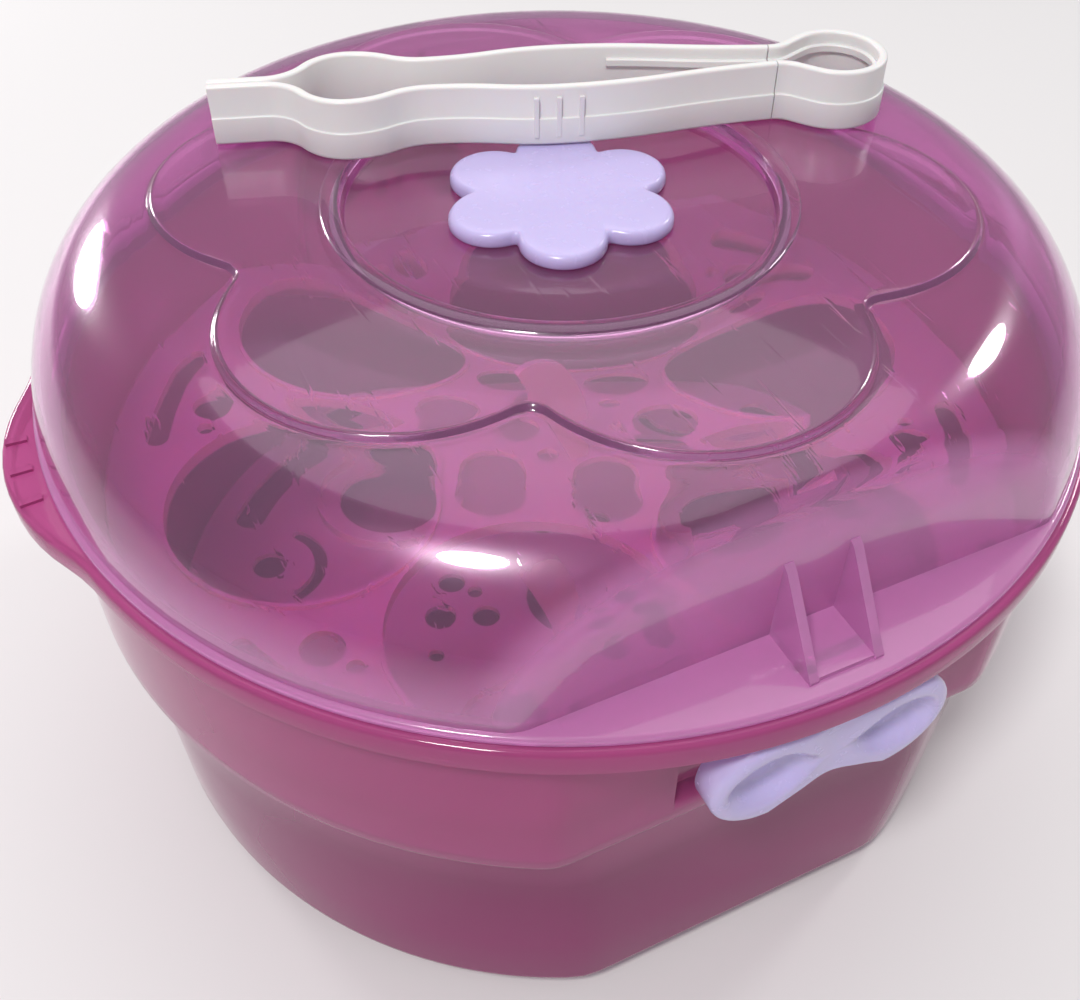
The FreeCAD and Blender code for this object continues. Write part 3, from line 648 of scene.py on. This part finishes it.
def arc_points(start, heading, end, count):
    """Points and directions along the arc that leaves start and reaches end, without its end."""
    chord = end - start
    half_turn = -heading.angle_signed(chord)
    stations = []
    for index in range(count):
        share = index / count
        if abs(half_turn) < 1e-5:
            stations.append((start + chord * share, heading))
            continue
        radius = chord.length / (2 * math.sin(half_turn))
        centre = start + Vector((-heading.y, heading.x)) * radius
        spin = Matrix.Rotation(2 * half_turn * share, 2)
        stations.append((centre + spin @ (start - centre), spin @ heading))
    return stations, Matrix.Rotation(2 * half_turn, 2) @ heading


def smooth_line(nodes, count=10):
    """Pairs of arcs through (x, y, direction in degrees), as points with their directions."""
    stations = []
    for (x0, y0, h0), (x1, y1, h1) in zip(nodes, nodes[1:]):
        start, end = Vector((x0, y0)), Vector((x1, y1))
        first = Vector((math.cos(math.radians(h0)), math.sin(math.radians(h0))))
        last = Vector((math.cos(math.radians(h1)), math.sin(math.radians(h1))))
        chord = end - start
        turn = 2 * (1 - first.dot(last))
        dot = chord.dot(first + last)
        if turn < 1e-9:
            reach = chord.length_squared / (4 * chord.dot(last))
        else:
            reach = (math.sqrt(dot * dot + turn * chord.length_squared) - dot) / turn
        joint = (start + end + (first - last) * reach) / 2
        points, heading = arc_points(start, first, joint, count)
        stations += points
        points, heading = arc_points(joint, heading, end, count)
        stations += points
    stations.append((end, last))
    return stations


def rounded_section(outer, ledge, height, ledge_height):
    """The strip's section: (sideways, up) from its centre line, with soft corners and a ledge."""
    corner = 0.75
    section = []

    def bend(x, z, start, radius):
        for step in range(4):
            angle = math.radians(start + step * 30)
            section.append((x + radius * math.cos(angle), z + radius * math.sin(angle)))

    bend(-1.2 + corner, corner, 180, corner)
    bend(outer + ledge - corner, corner, 270, corner)
    bend(outer + ledge - 0.4, ledge_height - 0.4, 0, 0.4)
    section.append((outer + 0.15, ledge_height + 0.1))
    section.append((outer, ledge_height + 0.4))
    bend(outer - corner, height - corner, 0, corner)
    bend(-1.2 + corner, height - corner, 90, corner)
    return section


def swept(stations, section, outer_side):
    """A section carried along a line: outer_side is 1 if its outside is to the left of travel."""
    verts = []
    faces = []
    width = len(section)
    for place, heading in stations:
        normal = Vector((-heading.y, heading.x)) * outer_side
        for side, up in section:
            point = place + normal * side
            verts.append((point.x, point.y, TONGS_BASE + up))
    for row in range(len(stations) - 1):
        for index in range(width):
            following = (index + 1) % width
            faces.append((row * width + index, row * width + following,
                          (row + 1) * width + following, (row + 1) * width + index))
    faces.append(tuple(range(width)))
    faces.append(tuple(range((len(stations) - 1) * width, len(stations) * width)))
    return verts, faces


def strip_shape(nodes, outer_side):
    """The tongs' strip along a smooth line."""
    return swept(smooth_line(nodes), rounded_section(1.2, 0.6, 15.9, 7.5), outer_side)


def rail_shape(nodes, outer_side, first_share):
    """A raised rail on the inner face of a strip, over the last part of its line."""
    stations = smooth_line(nodes)
    if first_share > 0:
        stations = stations[:int(len(stations) * first_share)]
    section = [(-1.0, 10.4), (-1.0, 12.6), (-1.9, 12.6), (-2.2, 12.3), (-2.2, 10.7), (-1.9, 10.4)]
    return swept(stations, section, outer_side)


def on_lid(shape, mirrored=False):
    """Tongs are drawn along their own centre line, then laid across the lid."""
    verts, faces = shape
    placed = [(x, (-y if mirrored else y) + 34.5, z) for x, y, z in verts]
    return turned((placed, faces), -18.5)


ARM_NODES = [(62.0, 4.9, 176.0), (4.0, 11.4, 180.0), (-31.0, 8.0, 180.0), (-52.0, 13.6, 180.0),
             (-52.0 + 13.6 * math.cos(math.radians(147)), 13.6 * math.sin(math.radians(147)), 237.0),
             (-74.0, 1.5, 180.0), (-88.0, 1.5, 180.0)]


def loop_nodes():
    nodes = [(62.3, 4.9, -4.0)]
    for azimuth in (125, 0, -125):
        angle = math.radians(azimuth)
        nodes.append((80.0 + 12.6 * math.cos(angle), 12.6 * math.sin(angle), azimuth - 90.0))
    return nodes + [(62.3, -4.9, 184.0)]


def grip_ribs():
    """Three upright ribs on the outside of the near arm's handle."""
    return [box(x, x + 1.2, 11.0, 13.4, TONGS_BASE + 2.4, TONGS_BASE + 13.2) for x in (8.0, 2.0, -4.0)]


# Pieces from shapes

def loose_object(name, shape):
    """A plain mesh object from a shape in millimetres."""
    verts, faces = shape
    mesh = bpy.data.meshes.new(name)
    mesh.from_pydata([Vector(vert) * MM for vert in verts], [], faces)
    tidy = bmesh.new()
    tidy.from_mesh(mesh)
    bmesh.ops.remove_doubles(tidy, verts=tidy.verts, dist=0.002 * MM)
    bmesh.ops.dissolve_degenerate(tidy, dist=0.001 * MM, edges=tidy.edges)
    bmesh.ops.recalc_face_normals(tidy, faces=tidy.faces)
    tidy.to_mesh(mesh)
    tidy.free()
    thing = bpy.data.objects.new(name, mesh)
    bpy.context.scene.collection.objects.link(thing)
    return thing


def merged(name, shape, added=(), cut=()):
    """One mesh from a shape, with others fused to it and others cut out of it."""
    whole = loose_object(name, shape)
    helpers = []
    for operation, others in (("UNION", added), ("DIFFERENCE", cut)):
        for other in others:
            helper = loose_object(name + "_helper", other)
            helpers.append(helper)
            step = whole.modifiers.new("join", "BOOLEAN")
            step.operation = operation
            step.solver = "EXACT"
            step.object = helper
    if helpers:
        bpy.context.view_layer.update()
        done = whole.evaluated_get(bpy.context.evaluated_depsgraph_get())
        mesh = bpy.data.meshes.new_from_object(done)
        whole.modifiers.clear()
        whole.data = mesh
        for helper in helpers:
            bpy.data.objects.remove(helper)
    return whole


def finished(piece, nodes, body, material, sharp=35.0):
    """Shade a piece, give it its finish and let it stand for its CAD nodes."""
    mesh = piece.data
    mesh.name = piece.name
    mesh.materials.clear()
    mesh.materials.append(material)
    mesh.shade_smooth()
    mesh.set_sharp_from_angle(angle=math.radians(sharp))
    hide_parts(*nodes)
    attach(piece, body)
    return piece


# Settings

def colour_setting(label, description, hex_colour):
    """A colour that the user can change."""
    return FloatVectorProperty(name=label, description=description, subtype="COLOR", size=4, min=0, max=1,
                               default=linear(hex_colour))


class SterilizerSizes(bpy.types.PropertyGroup):
    pan_wall: FloatProperty(
        name="Pan wall", description="Thickness of the pan's wall", unit="LENGTH", default=2.5 * MM)
    lid_wall: FloatProperty(
        name="Lid wall", description="Thickness of the lid's wall", unit="LENGTH", default=2.2 * MM)
    dish_depth: FloatProperty(
        name="Dish depth", description="Depth of the finger dishes in a latch", unit="LENGTH",
        default=4.6 * MM)


class SterilizerColours(bpy.types.PropertyGroup):
    lid: colour_setting("Lid", "Tint of the clear lid", LID_TINT)
    pan: colour_setting("Pan", "Tint of the milky pan", PAN_TINT)
    rack: colour_setting("Racks", "Colour of both racks", RACK_COLOUR)
    trim: colour_setting("Trim", "Colour of the badge and the latches", TRIM_COLOUR)
    tongs: colour_setting("Tongs", "Colour of the tongs", TONGS_COLOUR)
    floor: colour_setting("Floor", "Colour of the floor", FLOOR_COLOUR)


class SterilizerStage(bpy.types.PropertyGroup):
    camera_place: FloatVectorProperty(
        name="Camera place", description="Where the camera stands", subtype="TRANSLATION",
        unit="LENGTH", default=(-0.1213, -0.2433, 0.338))
    camera_yaw: FloatProperty(
        name="Camera yaw", description="Direction of view about the vertical, from +X",
        subtype="ANGLE", default=math.radians(64.5))
    camera_pitch: FloatProperty(
        name="Camera pitch", description="Direction of view above the horizon", subtype="ANGLE",
        default=math.radians(-45.2))
    camera_roll: FloatProperty(
        name="Camera roll", description="Turn about the line of sight", subtype="ANGLE",
        default=math.radians(0.2))
    camera_lens: FloatProperty(
        name="Lens", description="Focal length for a 36 mm wide sensor, in millimetres", default=40.0)
    world_strength: FloatProperty(
        name="World strength", description="Brightness of the plain surrounding light", default=0.4)
    floor_size: FloatProperty(
        name="Floor size", description="Half the floor's width", unit="LENGTH", default=4.0)


# Operators

class BuildPan(bpy.types.Operator):
    """Base pan: tapered body, ledge, wide band with latch pockets, rim flange with grip tabs"""
    bl_idname = "sterilizer.build_pan"
    bl_label = "Build base pan"

    def execute(self, context):
        colours = context.scene.sterilizer_colours
        wall = context.scene.sterilizer_sizes.pan_wall / MM
        slots = [turned(box(-9.6, 9.6, 128.2, 131.8, 133.0, 137.0), first) for first in (0, 180)]
        whole = merged("base_pan_shell", pan_shape(wall), tab_ribs() + latch_ears(), slots)
        # The third tint is painted shade on the pan's lower body
        tints = (colours.pan, linear(PAN_DEEP), linear(PAN_LOW_PAINTED_SHADE))
        pan = moulded_polypropylene("milky_pink_polypropylene_moulded", tints, (0.5, 0.5), 0.06,
                                    linear(PAN_PASSING), 0.05, 0.15, 0.25)
        finished(whole, ["base_pan"], "pan", pan)
        return {"FINISHED"}


class BuildLid(bpy.types.Operator):
    """Lid: domed shoulder, flower pad, ring and recess, flat walls with gussets"""
    bl_idname = "sterilizer.build_lid"
    bl_label = "Build lid"

    def execute(self, context):
        colours = context.scene.sterilizer_colours
        wall = context.scene.sterilizer_sizes.lid_wall / MM
        whole = merged("lid_shell", lid_shape(wall), lid_fittings())
        tints = (colours.lid, linear(LID_DEEP), linear(LID_DEEP))
        clear = moulded_polypropylene("clear_pink_polypropylene_moulded", tints, (0.935, 0.62), 0.02,
                                      linear(LID_PASSING), 0.6, 0.4, 1.0)
        finished(whole, ["lid"], "lid", clear)
        return {"FINISHED"}


class DressRacks(bpy.types.Operator):
    """Pink polypropylene for both racks, with a painted glint on upright faces such as the walls of their holes
    """
    bl_idname = "sterilizer.dress_racks"
    bl_label = "Dress racks"

    def execute(self, context):
        colours = context.scene.sterilizer_colours
        rack = opaque_moulding("pink_polypropylene_moulded", colours.rack, linear(RACK_DEEP), 0.2, 0.0, 0.35,
                               linear(RACK_PAINTED_GLINT))
        dress("upper_bottle_rack", rack)
        dress("lower_rack", rack)
        return {"FINISHED"}


class BuildTrim(bpy.types.Operator):
    """Flower badge and both latches in lavender plastic"""
    bl_idname = "sterilizer.build_trim"
    bl_label = "Build badge and latches"

    def execute(self, context):
        colours = context.scene.sterilizer_colours
        dish_depth = context.scene.sterilizer_sizes.dish_depth / MM
        gloss = opaque_moulding("lavender_abs_moulded", colours.trim, linear(TRIM_DEEP), 0.24, 0.15, 0.1)
        badge = merged("flower_badge_plate", badge_shape())
        finished(badge, ["flower_badge"], "lid", gloss, 50.0)
        for name, first in (("rear_latch", 0), ("front_latch", 180)):
            hollow = turned(box(-4.8, 4.8, 131.0, 137.6, 95.0, 118.8), first)
            pin = turned(trunnion(), first)
            latch = merged(name + "_handle", latch_shape(first, dish_depth), [pin],
                           [hollow])
            finished(latch, [name], name, gloss, 50.0)
        return {"FINISHED"}


class BuildTongs(bpy.types.Operator):
    """Tongs: two arms with a ring-shaped jaw and the spring loop"""
    bl_idname = "sterilizer.build_tongs"
    bl_label = "Build tongs"

    def execute(self, context):
        colours = context.scene.sterilizer_colours
        white = opaque_moulding("white_polypropylene_moulded", colours.tongs, linear(TONGS_DEEP), 0.34, 0.0,
                                0.2)
        far_arm = merged("tongs_far_arm_strip", on_lid(strip_shape(ARM_NODES, -1)),
                         [on_lid(rail_shape(ARM_NODES[:2], -1, 0.78))])
        near_arm = merged("tongs_near_arm_strip", on_lid(strip_shape(ARM_NODES, -1), True),
                          [on_lid(rib, True) for rib in grip_ribs()])
        loop = merged("tongs_loop_strip", on_lid(strip_shape(loop_nodes(), 1)),
                      [on_lid(rail_shape(loop_nodes(), 1, 0.0))])
        for piece, node in ((far_arm, "tongs_far_arm"), (near_arm, "tongs_near_arm"), (loop, "tongs_loop")):
            body = "tongs" if node == "tongs_loop" else node
            finished(piece, [node], body, white, 40.0)
        return {"FINISHED"}


class BuildStage(bpy.types.Operator):
    """Floor, lamps, world and camera"""
    bl_idname = "sterilizer.build_stage"
    bl_label = "Build stage"

    def execute(self, context):
        settings = context.scene.sterilizer_stage
        scene = context.scene
        floor_mesh = bpy.data.meshes.new("floor")
        shape = bmesh.new()
        bmesh.ops.create_grid(shape, x_segments=8, y_segments=8, size=settings.floor_size)
        shape.to_mesh(floor_mesh)
        shape.free()
        floor = bpy.data.objects.new("floor", floor_mesh)
        scene.collection.objects.link(floor)
        floor.location.z = -0.0005
        floor_mesh.materials.append(painted_backdrop("matt_painted_board", scene.sterilizer_colours.floor))

        for name, place, size, power in LAMPS:
            lamp = bpy.data.lights.new(name, "AREA")
            lamp.shape = "DISK"
            lamp.size = size
            lamp.energy = power
            holder = bpy.data.objects.new(name, lamp)
            scene.collection.objects.link(holder)
            holder.location = place
            aim = Vector((0, 0, 0.1)) - Vector(place)
            holder.rotation_euler = aim.to_track_quat("-Z", "Y").to_euler()

        world = bpy.data.worlds.new("studio")
        scene.world = world
        world.use_nodes = True
        background = world.node_tree.nodes["Background"]
        background.inputs["Color"].default_value = linear(WORLD_COLOUR)
        background.inputs["Strength"].default_value = settings.world_strength

        camera = bpy.data.cameras.new("view")
        camera.sensor_width = 36.0
        camera.sensor_fit = "HORIZONTAL"
        camera.lens = settings.camera_lens
        camera.clip_start = 0.01
        holder = bpy.data.objects.new("view", camera)
        scene.collection.objects.link(holder)
        holder.location = settings.camera_place
        level = math.cos(settings.camera_pitch)
        sight = Vector((level * math.cos(settings.camera_yaw), level * math.sin(settings.camera_yaw),
                        math.sin(settings.camera_pitch)))
        turn = sight.to_track_quat("-Z", "Y").to_matrix().to_4x4()
        turn = turn @ Matrix.Rotation(settings.camera_roll, 4, "Z")
        holder.rotation_euler = turn.to_euler()
        scene.camera = holder
        scene.view_settings.view_transform = "Standard"
        return {"FINISHED"}


class SterilizerPanel(bpy.types.Panel):
    bl_label = "Bottle sterilizer"
    bl_idname = "VIEW3D_PT_sterilizer"
    bl_space_type = "VIEW_3D"
    bl_region_type = "UI"
    bl_category = "Sterilizer"

    def draw(self, context):
        column = self.layout.column()
        for operator in OPERATORS:
            column.operator(operator.bl_idname)
        scene = context.scene
        for settings in (scene.sterilizer_sizes, scene.sterilizer_colours, scene.sterilizer_stage):
            for name in settings.__annotations__:
                column.prop(settings, name)


OPERATORS = (BuildPan, BuildLid, DressRacks, BuildTrim, BuildTongs, BuildStage)
CLASSES = (SterilizerSizes, SterilizerColours, SterilizerStage, *OPERATORS, SterilizerPanel)


def register():
    for entry in CLASSES:
        bpy.utils.register_class(entry)
    bpy.types.Scene.sterilizer_sizes = PointerProperty(type=SterilizerSizes)
    bpy.types.Scene.sterilizer_stage = PointerProperty(type=SterilizerStage)
    bpy.types.Scene.sterilizer_colours = PointerProperty(type=SterilizerColours)


def unregister():
    del bpy.types.Scene.sterilizer_colours
    del bpy.types.Scene.sterilizer_stage
    del bpy.types.Scene.sterilizer_sizes
    for entry in reversed(CLASSES):
        bpy.utils.unregister_class(entry)


def main():
    register()
    for operator in OPERATORS:
        group, name = operator.bl_idname.split(".")
        getattr(getattr(bpy.ops, group), name)()


if __name__ == "__main__":
    main()
